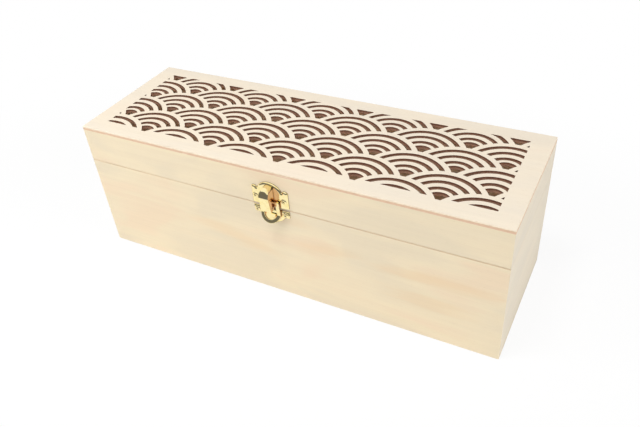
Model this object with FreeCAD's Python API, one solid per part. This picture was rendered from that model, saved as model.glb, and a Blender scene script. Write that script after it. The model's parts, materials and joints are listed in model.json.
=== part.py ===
import FreeCAD, Part
import math
import os

from FreeCAD import Vector

# Long hinged wooden box with a pierced wave lattice in its lid and a brass toggle latch.
# All sizes in millimetres. X runs left to right seen from the front, Y front to back, Z up.
# The origin is the centre of the box's underside.

# Box
box_length = 350.0
box_depth = 114.0
body_height = 85.9
lid_height = 31.6
lid_gap = 0.3
wall_thickness = 7.5
base_thickness = 4.0
base_rebate = 4.0
base_clearance = 0.1
lattice_thickness = 3.0
arris_radius = 0.4

# Tea compartments
divider_count = 3
divider_thickness = 4.0
divider_height = 66.0
divider_groove_depth = 2.5
divider_clearance = 0.1

# Wave lattice: rows of overlapping scales, each with concentric slots round a wedge
wave_pitch = 60.76
wave_row_spacing = 16.325
wave_outer_radius = 33.1
wave_border = 3.85
wave_slot = 3.4
wave_band = 3.8
wave_last_band = 2.6
wave_back_wedge_radius = 10.6
wave_margin_end = 15.1
wave_margin_back = 12.65
wave_margin_front = 14.2
wave_first_centre_y = 20.85
wave_least_cut_area = 2.0

# Latch plate on the lid: a round arch between two ears
latch_x = 0.0
plate_width = 30.8
plate_thickness = 0.9
plate_rim_height = 0.5
plate_rim_side = 0.8
plate_rim_top = 2.2
plate_above_split = 1.95
plate_ear_height = 15.0
plate_ear_width = 5.0
plate_ear_radius = 2.4
plate_notch_height = 13.2
plate_arch_radius = 11.8
plate_arch_rise = 19.9
plate_screw_spacing = 24.0
plate_screw_rise = 8.35

# Keeper plate on the body: a bar with rounded ends above a round sweep
keeper_width = 30.4
keeper_thickness = 0.7
keeper_rim_height = 0.4
keeper_rim_width = 0.75
keeper_below_split = 0.95
keeper_ear_drop = 7.45
keeper_ear_radius = 1.6
keeper_drop = 13.65
keeper_sweep_radius = 12.6
keeper_screw_drop = 4.2

# Latch lever: a folded hood, hung on a pin through two lugs of the lid plate
lever_pivot_rise = 2.4
lever_pivot_depth = 4.2
lever_width = 7.9
lever_wall = 0.8
lever_lip_rise = 0.35
lever_lip_depth = 7.4
lever_nose_rise = 13.45
lever_nose_depth = 9.3
lever_top_rise = 20.55
lever_brow_depth = 7.55
lever_back_depth = 1.65
lever_heel_radius = 2.0
lever_dome_rise = 14.8
lever_dome_setback = 7.5
lever_pin_radius = 0.8
lug_thickness = 0.9
lug_side_clearance = 0.15
lug_radius = 1.7
lug_root_height = 3.6
pin_clearance = 0.05
pin_head_radius = 1.3
pin_head_thickness = 0.5

# Bail: the ring that hangs on the lever and loops round the keeper's tongue
bail_pivot_rise = 6.2
bail_pivot_depth = 2.8
bail_width = 16.7
bail_band = 3.0
bail_thickness = 1.4
bail_edge_radius = 0.4
bail_crease_drop = 4.85
bail_crease_depth = 2.6
bail_ring_reach = 7.3
bail_bend_angle = 30.0
bail_bar_radius = 0.7

# Keeper tongue
tongue_root_drop = 3.45
tongue_root_height = 1.7
tongue_tip_drop = 7.85
tongue_tip_height = 0.8
tongue_reach = 3.9
tongue_bail_clearance = 1.15

# Hinges
hinge_from_end = 65.0
hinge_offset_x = box_length / 2 - hinge_from_end
leaf_width = 24.0
leaf_height = 12.0
leaf_thickness = 0.9
knuckle_radius = 1.8
knuckle_wall_clearance = 0.1
knuckle_end_clearance = 0.15
hinge_pin_radius = 0.8
hinge_pin_head_radius = 1.2
hinge_pin_head_thickness = 0.5
leaf_screw_spacing = 15.0
leaf_screw_rise = 8.0

# Screws
screw_shank_radius = 1.0
screw_length = 6.0
screw_head_radius = 2.25
screw_head_rise = 1.1
screw_recess_width = 0.6
screw_recess_depth = 0.6
screw_recess_overrun = 0.2
screw_fit = 0.02
leaf_screw_head_radius = 1.8

# Worked out from the sizes above
half_length = box_length / 2
half_depth = box_depth / 2
split_z = body_height + lid_gap / 2
lid_bottom = body_height + lid_gap
box_height = body_height + lid_gap + lid_height
front_y = -half_depth
back_y = half_depth
hinge_y = back_y + knuckle_radius + knuckle_wall_clearance
inner_half_length = half_length - wall_thickness
inner_half_depth = half_depth - wall_thickness


def box(x0, x1, y0, y1, z0, z1):
    return Part.makeBox(x1 - x0, y1 - y0, z1 - z0, Vector(x0, y0, z0))


def prism(points, direction):
    """Solid swept from a closed outline of straight edges along a vector."""
    wire = Part.makePolygon(points + points[:1])
    return Part.Face(wire).extrude(direction)


def save(shape, node):
    """Write one node, checked to be one or more whole solids."""
    if not shape.isValid() or shape.Volume <= 0 or not shape.Solids:
        raise ValueError("bad solid: " + node)
    shape.exportStep("parts/" + node + ".step")
    print(node, "solids", len(shape.Solids), "volume", round(shape.Volume, 1))


def front_point(x, rise, depth=0.0):
    """Point on or in front of the box's face, measured from the latch centre and the split."""
    return Vector(latch_x + x, front_y - depth, split_z + rise)


def closed_wire(steps):
    """Closed wire: each step is its end point, or an arc's middle and end points."""
    last = steps[-1]
    here = last[1] if isinstance(last, tuple) else last
    edges = []
    for step in steps:
        if isinstance(step, tuple):
            middle, end = step
            edges.append(Part.Arc(here, middle, end).toShape())
        else:
            end = step
            edges.append(Part.LineSegment(here, end).toShape())
        here = end
    return Part.Wire(edges)


# Wooden walls, mitred at the corners, with their outer edges eased


def long_wall(side, z0, z1):
    """Front (side -1) or back (side +1) wall."""
    outer, inner = side * half_depth, side * inner_half_depth
    points = [
        Vector(-half_length, outer, z0),
        Vector(half_length, outer, z0),
        Vector(inner_half_length, inner, z0),
        Vector(-inner_half_length, inner, z0),
    ]
    return prism(points, Vector(0, 0, z1 - z0))


def end_wall(side, z0, z1):
    """Left (side -1) or right (side +1) wall."""
    outer, inner = side * half_length, side * inner_half_length
    points = [
        Vector(outer, -half_depth, z0),
        Vector(outer, half_depth, z0),
        Vector(inner, inner_half_depth, z0),
        Vector(inner, -inner_half_depth, z0),
    ]
    return prism(points, Vector(0, 0, z1 - z0))


def eased(shape, z0, z1):
    """The part of a shape inside the body's or lid's block with rounded outer edges."""
    block = box(-half_length, half_length, -half_depth, half_depth, z0, z1)
    return shape.common(block.makeFillet(arris_radius, block.Edges))


def base_panel(clearance):
    """Panel in the rebate round the underside; zero clearance gives the rebate itself."""
    half_x = inner_half_length + base_rebate - clearance
    half_y = inner_half_depth + base_rebate - clearance
    return box(-half_x, half_x, -half_y, half_y, 0, base_thickness)


def divider_positions():
    pitch = (2 * inner_half_length + divider_thickness) / (divider_count + 1)
    first = -inner_half_length - divider_thickness / 2
    return [first + pitch * (i + 1) for i in range(divider_count)]


def divider(x, clearance):
    """Cross board let into the front and back walls; zero clearance gives its grooves."""
    half_x = divider_thickness / 2 - clearance
    half_y = inner_half_depth + divider_groove_depth - clearance
    top = base_thickness + divider_height
    return box(x - half_x, x + half_x, -half_y, half_y, base_thickness, top)


# Screws: axis along Y, head outwards


def screw_site_front(x, rise):
    return front_point(x, rise), Vector(0, -1, 0)


def plate_screw_sites():
    half = plate_screw_spacing / 2
    return [screw_site_front(x, plate_screw_rise) for x in (-half, half)]


def keeper_screw_sites():
    half = plate_screw_spacing / 2
    return [screw_site_front(x, -keeper_screw_drop) for x in (-half, half)]


def leaf_screw_sites(side):
    """Screw places of both hinges on the lid (side +1) or the body (side -1)."""
    sites = []
    for hinge_x in (-hinge_offset_x, hinge_offset_x):
        for offset in (-leaf_screw_spacing / 2, leaf_screw_spacing / 2):
            place = Vector(hinge_x + offset, back_y, split_z + side * leaf_screw_rise)
            sites.append((place, Vector(0, 1, 0)))
    return sites


def pilot_hole(site, sheet):
    """Hole for one screw through its sheet and into the wood."""
    place, out = site
    start = place + out * (sheet + screw_head_rise)
    length = screw_length + sheet + screw_head_rise
    return Part.makeCylinder(screw_shank_radius + screw_fit, length, start, -out)


def recess(start, out, reach):
    """Cross-shaped driver recess cut down from a screw head's top."""
    size = screw_recess_width
    cutter = None
    for length_x, length_z in ((reach, size), (size, reach)):
        corner = start - Vector(length_x / 2, 0, length_z / 2)
        slab = Part.makeBox(length_x, screw_recess_depth, length_z, corner)
        slab.translate(Vector(0, -screw_recess_depth if out.y > 0 else 0, 0))
        cutter = slab if cutter is None else cutter.fuse(slab)
    return cutter


def raised_screw(site, sheet):
    """Wood screw with a domed head that sits on its sheet."""
    place, out = site
    seat = place + out * sheet
    shank = Part.makeCylinder(screw_shank_radius, screw_length, seat, -out)
    dome_radius = (screw_head_radius ** 2 + screw_head_rise ** 2) / (2 * screw_head_rise)
    ball = Part.makeSphere(dome_radius, seat + out * (screw_head_rise - dome_radius))
    slab = Part.makeCylinder(screw_head_radius, screw_head_rise, seat, out)
    head = ball.common(slab)
    top = seat + out * screw_head_rise
    reach = screw_head_radius + screw_recess_overrun
    return shank.fuse(head).cut(recess(top, out, reach)).removeSplitter()


def leaf_countersink(site):
    place, out = site
    rise = leaf_thickness
    return Part.makeCone(screw_shank_radius, leaf_screw_head_radius, rise, place, out)


def flush_screw(site):
    """Countersunk screw whose head ends level with the hinge leaf."""
    place, out = site
    shank = Part.makeCylinder(screw_shank_radius, screw_length, place, -out)
    head = leaf_countersink(site)
    top = place + out * leaf_thickness
    reach = leaf_screw_head_radius + screw_recess_overrun
    return shank.fuse(head).cut(recess(top, out, reach)).removeSplitter()


# Wave lattice in the lid


def flat_circle(x, y, radius):
    return Part.Wire(Part.makeCircle(radius, Vector(x, y, box_height)))


def disc(x, y, radius):
    return Part.Face(flat_circle(x, y, radius))


def wave_radii():
    """Outer and inner radius of each slot of a scale; the last pair is the middle wedge."""
    outer = wave_outer_radius - wave_border
    middle = outer - wave_slot - wave_band
    inner = middle - wave_slot - wave_band
    wedge = inner - wave_slot - wave_last_band
    return [
        (outer, outer - wave_slot),
        (middle, middle - wave_slot),
        (inner, inner - wave_slot),
        (wedge, 0.0),
    ]


def wave_centres():
    """Centres of every scale that can show, row by row from the back."""
    centres = []
    last_row = int((box_depth + wave_outer_radius - wave_first_centre_y) / wave_row_spacing)
    columns = math.ceil(half_length / wave_pitch) + 1
    for row in range(-1, last_row + 1):
        shift = 0.0 if row % 2 else wave_pitch / 2
        y = back_y - wave_first_centre_y - row * wave_row_spacing
        for column in range(-columns, columns):
            centres.append((column * wave_pitch + shift, y))
    return centres


def wave_cuts():
    """Outer wires of all the openings, each scale hidden by the rows in front of it."""
    left, right = -half_length + wave_margin_end, half_length - wave_margin_end
    front, back = front_y + wave_margin_front, back_y - wave_margin_back
    sheet = Part.makePlane(right - left, back - front, Vector(left, front, box_height))
    tip_sheet = Part.makePlane(right - left, back - front + wave_border,
                               Vector(left, front - wave_border, box_height))
    wires = []
    for x, y in wave_centres():
        hiding = []
        for across, rows in ((-wave_pitch / 2, 1), (wave_pitch / 2, 1), (0.0, 2)):
            hiding.append(disc(x + across, y - rows * wave_row_spacing, wave_outer_radius))
        for outer, inner in wave_radii():
            if not inner and y < back < y + outer:
                # A wedge that the back line cuts is wider, up to the scales beside it.
                outer = max(outer, wave_back_wedge_radius)
            face = disc(x, y, outer)
            if inner:
                face = face.cut(disc(x, y, inner))
            # A middle wedge whose arc lies inside the pattern keeps its whole tip.
            whole_tip = not inner and y + outer > front + wave_border
            shown = face.cut(hiding).common(tip_sheet if whole_tip else sheet)
            for part in shown.Faces:
                if part.Area > wave_least_cut_area:
                    wires.append(part.OuterWire)
    return wires


def lid_lattice():
    """Top board of the lid, flush with the rails' outer faces."""
    corner = Vector(-half_length, -half_depth, box_height)
    outline = Part.makePlane(box_length, box_depth, corner).OuterWire
    face = Part.makeFace([outline] + wave_cuts(), "Part::FaceMakerBullseye")
    board = face.extrude(Vector(0, 0, -lattice_thickness))
    return eased(board, lid_bottom, box_height)


# Latch


def front_slab(x0, x1, rise0, rise1, depth0, depth1):
    """Block in front of the box's face, placed from the latch centre and the split."""
    corner = front_point(x0, rise0, depth1)
    return Part.makeBox(x1 - x0, depth1 - depth0, rise1 - rise0, corner)


def front_disc(rise, radius, depth0, depth1):
    """Round plate in front of the box's face, on the latch's centre line."""
    start = front_point(0, rise, depth0)
    return Part.makeCylinder(radius, depth1 - depth0, start, Vector(0, -1, 0))


def rounded_corners(slab, radius, rise):
    """The slab with its two edges square to the box's face at one height rounded."""
    edges = []
    for edge in slab.Edges:
        level = abs(edge.CenterOfMass.z - split_z - rise) < 0.01
        if level and edge.BoundBox.XLength < 0.01:
            edges.append(edge)
    return slab.makeFillet(radius, edges)


def arched_plate(inset_side, inset_top, bottom, depth0, depth1):
    """Lid plate outline: two ears joined by a round arch, with a notch beside each ear."""
    half = plate_width / 2 - inset_side
    notch = plate_above_split + plate_notch_height - inset_top
    ears_top = plate_above_split + plate_ear_height - inset_top
    shape = front_slab(-half, half, bottom, notch, depth0, depth1)
    inner = plate_width / 2 - plate_ear_width
    radius = plate_ear_radius - inset_side / 2
    for x0, x1 in ((-half, -inner), (inner, half)):
        ear = front_slab(x0, x1, bottom, ears_top, depth0, depth1)
        shape = shape.fuse(rounded_corners(ear, min(radius, (x1 - x0) / 2 - 0.05), ears_top))
    centre = plate_above_split + plate_arch_rise - plate_arch_radius
    arch = front_disc(centre, plate_arch_radius - inset_top, depth0, depth1)
    below = front_slab(-half, half, bottom - plate_arch_radius, bottom, depth0, depth1)
    return shape.fuse(arch).cut(below).removeSplitter()


def lug(side):
    """Bearing lug for the lever's pin, inside the lever's cheek."""
    outer = lever_width / 2 - lever_wall - lug_side_clearance
    x0 = -outer if side < 0 else outer - lug_thickness
    root_low, root_high = plate_above_split, plate_above_split + lug_root_height
    centre = front_point(x0, lever_pivot_rise, lever_pivot_depth)
    tip = Part.makeCylinder(lug_radius, lug_thickness, centre, Vector(1, 0, 0))
    points = [
        front_point(x0, root_low, plate_thickness),
        front_point(x0, root_high, plate_thickness),
        front_point(x0, lever_pivot_rise + lug_radius, lever_pivot_depth),
        front_point(x0, lever_pivot_rise - lug_radius, lever_pivot_depth),
    ]
    web = prism(points, Vector(lug_thickness, 0, 0))
    return web.fuse(tip)


def pivot_cylinder(radius, half_width, rise, depth):
    start = front_point(-half_width, rise, depth)
    return Part.makeCylinder(radius, 2 * half_width, start, Vector(1, 0, 0))


def latch_upper_plate():
    face_depth = plate_thickness + plate_rim_height
    body = arched_plate(0, 0, plate_above_split, 0, face_depth)
    pocket = arched_plate(plate_rim_side, plate_rim_top, plate_above_split - 1,
                          plate_thickness, face_depth + 1)
    plate = body.cut(pocket)
    for side in (-1, 1):
        plate = plate.fuse(lug(side))
    hole = pivot_cylinder(lever_pin_radius, lever_width, lever_pivot_rise, lever_pivot_depth)
    plate = plate.cut(hole)
    for site in plate_screw_sites():
        plate = plate.cut(pilot_hole(site, plate_thickness))
    return plate.removeSplitter()


def keeper_outline(inset, depth0, depth1):
    """Body plate outline: a bar with rounded lower corners above a round sweep."""
    half = keeper_width / 2 - inset
    top = -keeper_below_split - inset
    ear_low = -keeper_ear_drop + inset
    bar = front_slab(-half, half, ear_low, top, depth0, depth1)
    bar = rounded_corners(bar, keeper_ear_radius - inset / 2, ear_low)
    centre = -keeper_drop + keeper_sweep_radius
    sweep = front_disc(centre, keeper_sweep_radius - inset, depth0, depth1)
    above = front_slab(-half, half, top, top + keeper_sweep_radius, depth0, depth1)
    return bar.fuse(sweep).cut(above).removeSplitter()


def keeper_tongue():
    """Tongue pressed out of the plate, sloping outwards and down inside the bail."""
    half = bail_width / 2 - bail_band - tongue_bail_clearance
    root_depth = keeper_thickness / 2
    profile = [
        front_point(-half, -tongue_root_drop, root_depth),
        front_point(-half, -tongue_tip_drop + tongue_tip_height, tongue_reach),
        front_point(-half, -tongue_tip_drop, tongue_reach),
        front_point(-half, -tongue_root_drop - tongue_root_height, root_depth),
    ]
    sheet = prism(profile, Vector(2 * half, 0, 0))
    round_end = front_disc(-tongue_tip_drop + half, half, 0, tongue_reach + 1)
    straight = front_slab(-half, half, -tongue_tip_drop + half, 0, 0, tongue_reach + 1)
    return sheet.common(round_end.fuse(straight))


def latch_keeper_plate():
    face_depth = keeper_thickness + keeper_rim_height
    body = keeper_outline(0, 0, face_depth)
    pocket = keeper_outline(keeper_rim_width, keeper_thickness, face_depth + 1)
    plate = body.cut(pocket).fuse(keeper_tongue())
    for site in keeper_screw_sites():
        plate = plate.cut(pilot_hole(site, keeper_thickness))
    return plate.removeSplitter()


def lever_section():
    """Side outline of the hood, cut square at a heel that turns about the pin."""
    x = -lever_width / 2
    diagonal = lever_heel_radius * math.sqrt(0.5)
    heel_low = front_point(x, lever_pivot_rise - lever_heel_radius, lever_pivot_depth)
    heel_mid = front_point(x, lever_pivot_rise - diagonal, lever_pivot_depth - diagonal)
    heel_back = front_point(x, lever_pivot_rise, lever_pivot_depth - lever_heel_radius)
    return closed_wire([
        front_point(x, lever_lip_rise, lever_lip_depth),
        front_point(x, lever_nose_rise, lever_nose_depth),
        front_point(x, lever_top_rise, lever_brow_depth),
        front_point(x, lever_top_rise, lever_back_depth),
        front_point(x, lever_pivot_rise + lever_heel_radius, lever_back_depth),
        heel_back,
        (heel_mid, heel_low),
    ])


def lever_hollow_section():
    """Side outline of the hollow: one wall inside the hood, open at its back and below."""
    x = -lever_width / 2 + lever_wall
    overrun = lever_heel_radius + 2 * lever_wall
    slope = (lever_nose_depth - lever_lip_depth) / (lever_nose_rise - lever_lip_rise)
    low = lever_lip_rise - overrun
    back = lever_back_depth - overrun
    around = Part.Face(closed_wire([
        front_point(x, low, lever_lip_depth - slope * overrun),
        front_point(x, lever_nose_rise, lever_nose_depth),
        front_point(x, lever_top_rise, lever_brow_depth),
        front_point(x, lever_top_rise, back),
        front_point(x, low, back),
    ]))
    # join 2 keeps the corners mitred
    return around.makeOffset2D(-lever_wall, join=2)


def lever_outline(inset):
    """Front outline of the hood: straight cheeks and a round tip."""
    half = lever_width / 2 - inset
    centre = lever_top_rise - lever_width / 2
    depth = lever_nose_depth + 1
    cheeks = front_slab(-half, half, -lever_heel_radius, centre, -depth, depth)
    return cheeks.fuse(front_disc(centre, half, -depth, depth))


def lever_dome(inset):
    """Ball that rounds the hood's tip above its flat facet, with all that lies below it."""
    facet_depth = lever_nose_depth - lever_brow_depth
    facet_rise = lever_top_rise - lever_nose_rise
    facet_length = math.hypot(facet_depth, facet_rise)
    share = (lever_dome_rise - lever_nose_rise) / facet_rise
    rise = lever_dome_rise - lever_dome_setback * facet_depth / facet_length
    depth = (lever_nose_depth - share * facet_depth
             - lever_dome_setback * facet_rise / facet_length)
    radius = math.hypot(lever_width / 2, lever_dome_setback)
    ball = Part.makeSphere(radius - inset, front_point(0, rise, depth))
    reach = lever_nose_depth + 1
    below = front_slab(-lever_width, lever_width, -reach, lever_dome_rise, -reach, reach)
    return ball.fuse(below)


def latch_lever():
    hood = Part.Face(lever_section()).extrude(Vector(lever_width, 0, 0))
    hood = hood.common(lever_outline(0)).common(lever_dome(0))
    hollow = lever_hollow_section().extrude(Vector(lever_width - 2 * lever_wall, 0, 0))
    hollow = hollow.common(lever_outline(lever_wall)).common(lever_dome(lever_wall))
    hood = hood.cut(hollow)
    hood = hood.cut(pivot_cylinder(lever_pin_radius + pin_clearance, lever_width,
                                   lever_pivot_rise, lever_pivot_depth))
    hood = hood.cut(pivot_cylinder(bail_bar_radius + pin_clearance, lever_width,
                                   bail_pivot_rise, bail_pivot_depth))
    return hood.removeSplitter()


def latch_lever_pin():
    """Pivot pin of the lever with a flat head at each end."""
    half = lever_width / 2 + pin_clearance
    pin = pivot_cylinder(lever_pin_radius, half, lever_pivot_rise, lever_pivot_depth)
    for side in (-1, 1):
        start = front_point(side * half, lever_pivot_rise, lever_pivot_depth)
        head = Part.makeCylinder(pin_head_radius, pin_head_thickness, start, Vector(side, 0, 0))
        pin = pin.fuse(head)
    return pin.removeSplitter()


def bail_ring():
    """Round end of the bail, bent outwards at the crease below its two strands."""
    half = bail_width / 2
    crease, depth = -bail_crease_drop, bail_crease_depth
    ends = []
    for inset in (0, bail_band):
        ends.append((
            front_point(-half + inset, crease, depth),
            front_point(0, crease - bail_ring_reach + inset, depth),
            front_point(half - inset, crease, depth),
        ))
    (left, low, right), (inner_left, inner_low, inner_right) = ends
    face = Part.Face(closed_wire([
        left,
        (low, right),
        inner_right,
        (inner_low, inner_left),
    ]))
    ring = face.extrude(Vector(0, bail_thickness, 0))
    arcs = [edge for edge in ring.Edges if edge.BoundBox.ZLength > 1]
    ring = ring.makeFillet(bail_edge_radius, arcs)
    ring.rotate(front_point(0, crease, depth), Vector(1, 0, 0), -bail_bend_angle)
    return ring


def bail_strand(x):
    """One straight side of the bail, from its eye on the bar down to the crease."""
    top_depth = bail_pivot_depth + bail_thickness / 2
    crease, depth = -bail_crease_drop, bail_crease_depth
    strand = prism([
        front_point(x, bail_pivot_rise, top_depth),
        front_point(x, crease, depth),
        front_point(x, crease, depth - bail_thickness),
        front_point(x, bail_pivot_rise, top_depth - bail_thickness),
    ], Vector(bail_band, 0, 0))
    long_edges = [edge for edge in strand.Edges if edge.BoundBox.ZLength > 1]
    strand = strand.makeFillet(bail_edge_radius, long_edges)
    bend = math.radians(bail_bend_angle)
    knee = prism([
        front_point(x + bail_edge_radius, crease, depth),
        front_point(x + bail_edge_radius, crease, depth - bail_thickness),
        front_point(x + bail_edge_radius, crease - bail_thickness * math.sin(bend),
                    depth - bail_thickness * math.cos(bend)),
    ], Vector(bail_band - 2 * bail_edge_radius, 0, 0))
    eye = Part.makeCylinder(bail_band / 2, bail_thickness,
                            front_point(x + bail_band / 2, bail_pivot_rise,
                                        top_depth - bail_thickness), Vector(0, -1, 0))
    return strand.fuse([knee, eye])


def latch_bail():
    half = bail_width / 2
    bar = pivot_cylinder(bail_bar_radius, half - bail_band / 2, bail_pivot_rise, bail_pivot_depth)
    pieces = [bail_strand(-half), bail_strand(half - bail_band), bar]
    return bail_ring().fuse(pieces).removeSplitter()


# Hinges on the back


def knuckle_spans():
    """X ranges of the three knuckles about the hinge centre: lower, upper, lower."""
    third = leaf_width / 3
    return [(-1.5 * third, -0.5 * third), (-0.5 * third, 0.5 * third), (0.5 * third, 1.5 * third)]


def hinge_axis_cylinder(x, x0, x1, radius):
    start = Vector(x + x0, hinge_y, split_z)
    return Part.makeCylinder(radius, x1 - x0, start, Vector(1, 0, 0))


def hinge_leaf(x, side, sites):
    """Leaf with its knuckles: side +1 sits on the lid, side -1 on the body."""
    half = leaf_width / 2
    z0, z1 = sorted((split_z, split_z + side * leaf_height))
    leaf = box(x - half, x + half, back_y, back_y + leaf_thickness, z0, z1)
    room = knuckle_radius + knuckle_wall_clearance + knuckle_end_clearance
    for number, (x0, x1) in enumerate(knuckle_spans()):
        owner = 1 if number == 1 else -1
        if owner == side:
            gap = knuckle_end_clearance / 2
            leaf = leaf.fuse(hinge_axis_cylinder(x, x0 + gap, x1 - gap, knuckle_radius))
        else:
            leaf = leaf.cut(hinge_axis_cylinder(x, x0 - knuckle_end_clearance / 2,
                                                x1 + knuckle_end_clearance / 2, room))
    leaf = leaf.cut(hinge_axis_cylinder(x, -half - 1, half + 1, hinge_pin_radius + pin_clearance))
    for place, out in sites:
        if abs(place.x - x) < half:
            leaf = leaf.cut(leaf_countersink((place, out)))
    return leaf.removeSplitter()


def hinge_pin(x):
    half = leaf_width / 2
    pin = hinge_axis_cylinder(x, -half, half, hinge_pin_radius)
    for start, end in ((-half - hinge_pin_head_thickness, -half), (half, half + hinge_pin_head_thickness)):
        pin = pin.fuse(hinge_axis_cylinder(x, start, end, hinge_pin_head_radius))
    return pin.removeSplitter()


# Bored walls


def bored(wall, sites, sheet):
    for site in sites:
        wall = wall.cut(pilot_hole(site, sheet))
    return wall


def body_wall(wall):
    wall = eased(wall, 0, body_height).cut(base_panel(0))
    for x in divider_positions():
        wall = wall.cut(divider(x, 0))
    return wall


def build_body():
    front = body_wall(long_wall(-1, 0, body_height))
    back = body_wall(long_wall(1, 0, body_height))
    save(bored(front, keeper_screw_sites(), keeper_thickness), "front_panel")
    save(bored(back, leaf_screw_sites(-1), leaf_thickness), "back_panel")
    save(body_wall(end_wall(-1, 0, body_height)), "left_end_panel")
    save(body_wall(end_wall(1, 0, body_height)), "right_end_panel")
    save(base_panel(base_clearance), "base_panel")
    for number, x in enumerate(divider_positions(), start=1):
        save(divider(x, divider_clearance), "divider_" + str(number))


def lid_rail(wall, side):
    """Rail under the lid's top board, with its outer edges eased."""
    rail_top = box_height - lattice_thickness
    return eased(wall(side, lid_bottom, rail_top), lid_bottom, box_height)


def build_lid():
    front = bored(lid_rail(long_wall, -1), plate_screw_sites(), plate_thickness)
    back = bored(lid_rail(long_wall, 1), leaf_screw_sites(1), leaf_thickness)
    save(front, "lid_front_rail")
    save(back, "lid_back_rail")
    save(lid_rail(end_wall, -1), "lid_left_rail")
    save(lid_rail(end_wall, 1), "lid_right_rail")
    save(lid_lattice(), "lid_lattice_panel")


def build_latch():
    save(latch_upper_plate(), "latch_upper_plate")
    save(latch_keeper_plate(), "latch_keeper_plate")
    save(latch_lever(), "latch_lever")
    save(latch_lever_pin(), "latch_lever_pin")
    save(latch_bail(), "latch_bail")
    plate_screws = [raised_screw(site, plate_thickness) for site in plate_screw_sites()]
    keeper_screws = [raised_screw(site, keeper_thickness) for site in keeper_screw_sites()]
    save(Part.makeCompound(plate_screws), "latch_plate_screws")
    save(Part.makeCompound(keeper_screws), "latch_keeper_screws")


def build_hinges():
    for name, x in (("left", -hinge_offset_x), ("right", hinge_offset_x)):
        save(hinge_leaf(x, -1, leaf_screw_sites(-1)), "hinge_lower_leaf_" + name)
        save(hinge_leaf(x, 1, leaf_screw_sites(1)), "hinge_upper_leaf_" + name)
        save(hinge_pin(x), "hinge_pin_" + name)
    save(Part.makeCompound([flush_screw(s) for s in leaf_screw_sites(-1)]), "hinge_lower_screws")
    save(Part.makeCompound([flush_screw(s) for s in leaf_screw_sites(1)]), "hinge_upper_screws")


os.makedirs("parts", exist_ok=True)
build_body()
build_lid()
build_latch()
build_hinges()
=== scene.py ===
"""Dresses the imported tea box: pale unfinished wood, a laser-cut wave lid and a polished brass toggle latch.

Lengths are metres in the frame of the CAD part unless a name ends in _mm. X runs along the front,
Y from front to back and Z up, with the origin at the centre of the underside.
"""

import json
import math

import bmesh
import bpy
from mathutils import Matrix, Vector


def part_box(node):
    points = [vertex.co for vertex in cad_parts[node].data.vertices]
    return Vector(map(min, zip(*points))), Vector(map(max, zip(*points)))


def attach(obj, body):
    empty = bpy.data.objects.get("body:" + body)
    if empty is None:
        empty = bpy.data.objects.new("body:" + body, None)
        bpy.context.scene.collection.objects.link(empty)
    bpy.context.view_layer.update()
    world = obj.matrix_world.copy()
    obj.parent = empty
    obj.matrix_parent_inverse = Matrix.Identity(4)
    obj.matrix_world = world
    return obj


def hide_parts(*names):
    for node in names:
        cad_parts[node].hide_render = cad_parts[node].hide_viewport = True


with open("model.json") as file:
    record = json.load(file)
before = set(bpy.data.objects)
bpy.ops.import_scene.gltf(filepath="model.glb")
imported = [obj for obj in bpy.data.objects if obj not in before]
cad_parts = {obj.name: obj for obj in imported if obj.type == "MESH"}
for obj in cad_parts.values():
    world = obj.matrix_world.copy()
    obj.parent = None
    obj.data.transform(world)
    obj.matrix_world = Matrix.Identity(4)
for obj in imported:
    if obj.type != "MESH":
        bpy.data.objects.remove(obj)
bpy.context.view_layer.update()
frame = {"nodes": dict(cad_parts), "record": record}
nodes = frame["nodes"]
bpy.ops.object.select_all(action="DESELECT")
scene = bpy.context.scene
scene.view_settings.view_transform = "Standard"

MM = 0.001

# Camera, fitted to the corners of the box in the photograph

CAMERA_AZIMUTH = 30.7038
CAMERA_ELEVATION = 37.6992
CAMERA_ROLL = -5.2855
CAMERA_DISTANCE = 0.549871
CAMERA_TARGET = Vector((0.0064586, 0.0, 0.0400665))
SENSOR_WIDTH_MM = 36.0
LENS_MM = 37.308


def add_camera():
    azimuth = math.radians(CAMERA_AZIMUTH)
    elevation = math.radians(CAMERA_ELEVATION)
    roll = math.radians(CAMERA_ROLL)
    back = Vector((
        math.sin(azimuth) * math.cos(elevation),
        -math.cos(azimuth) * math.cos(elevation),
        math.sin(elevation),
    ))
    level_right = (-back).cross(Vector((0.0, 0.0, 1.0))).normalized()
    level_up = level_right.cross(-back)
    right = math.cos(roll) * level_right + math.sin(roll) * level_up
    up = math.cos(roll) * level_up - math.sin(roll) * level_right
    bpy.ops.object.camera_add()
    camera = bpy.context.object
    camera.name = "camera"
    turn = camera.matrix_world.copy()
    for row in range(3):
        turn[row][0] = right[row]
        turn[row][1] = up[row]
        turn[row][2] = back[row]
        turn[row][3] = CAMERA_TARGET[row] + CAMERA_DISTANCE * back[row]
    camera.matrix_world = turn
    camera.data.sensor_width = SENSOR_WIDTH_MM
    camera.data.lens = LENS_MM
    camera.data.clip_start = 0.01
    scene.camera = camera


add_camera()

# Small helpers for node trees


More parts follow.
